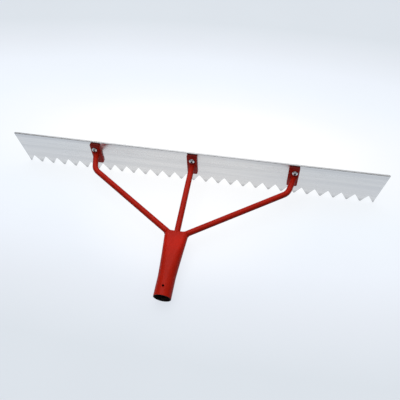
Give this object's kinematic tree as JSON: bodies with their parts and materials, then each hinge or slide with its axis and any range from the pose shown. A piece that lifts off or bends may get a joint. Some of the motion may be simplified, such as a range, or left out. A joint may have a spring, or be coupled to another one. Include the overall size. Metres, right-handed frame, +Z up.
{
  "type": "asphalt rake",
  "caption": "Asphalt rake head: a long toothed aluminium blade bolted to a red welded steel fork of round bars that meet in a tube socket for a handle.",
  "frame": {"origin": "on the ground under the middle of the head: half way along the blade and half way between the back of the nuts and the socket mouth, at the height of the tooth tips", "axes": "+X along the blade to the right seen from the handle, -Y towards the handle, +Z up; the blade stands upright on its teeth and the lower lip of the socket mouth is on the ground"},
  "size_m": [0.9, 0.3542, 0.0975],
  "materials": {
    "blade_aluminium": "mill finish with fine lengthwise lines",
    "red_paint": "semi-gloss",
    "zinc_steel": "zinc plated",
    "lock_ring": "nylon"
  },
  "bodies": {
    "root": {"blade": "blade_aluminium", "left_lug": "red_paint", "centre_lug": "red_paint", "right_lug": "red_paint", "left_stay": "red_paint", "centre_stay": "red_paint", "right_stay": "red_paint", "handle_socket": "red_paint", "left_lug_weld": "red_paint", "centre_lug_weld": "red_paint", "right_lug_weld": "red_paint", "left_socket_weld": "red_paint", "centre_socket_weld": "red_paint", "right_socket_weld": "red_paint", "blade_bolts": "zinc_steel", "blade_washers": "zinc_steel", "blade_nuts": "zinc_steel", "nut_lock_rings": "lock_ring"}
  },
  "joints": []
}
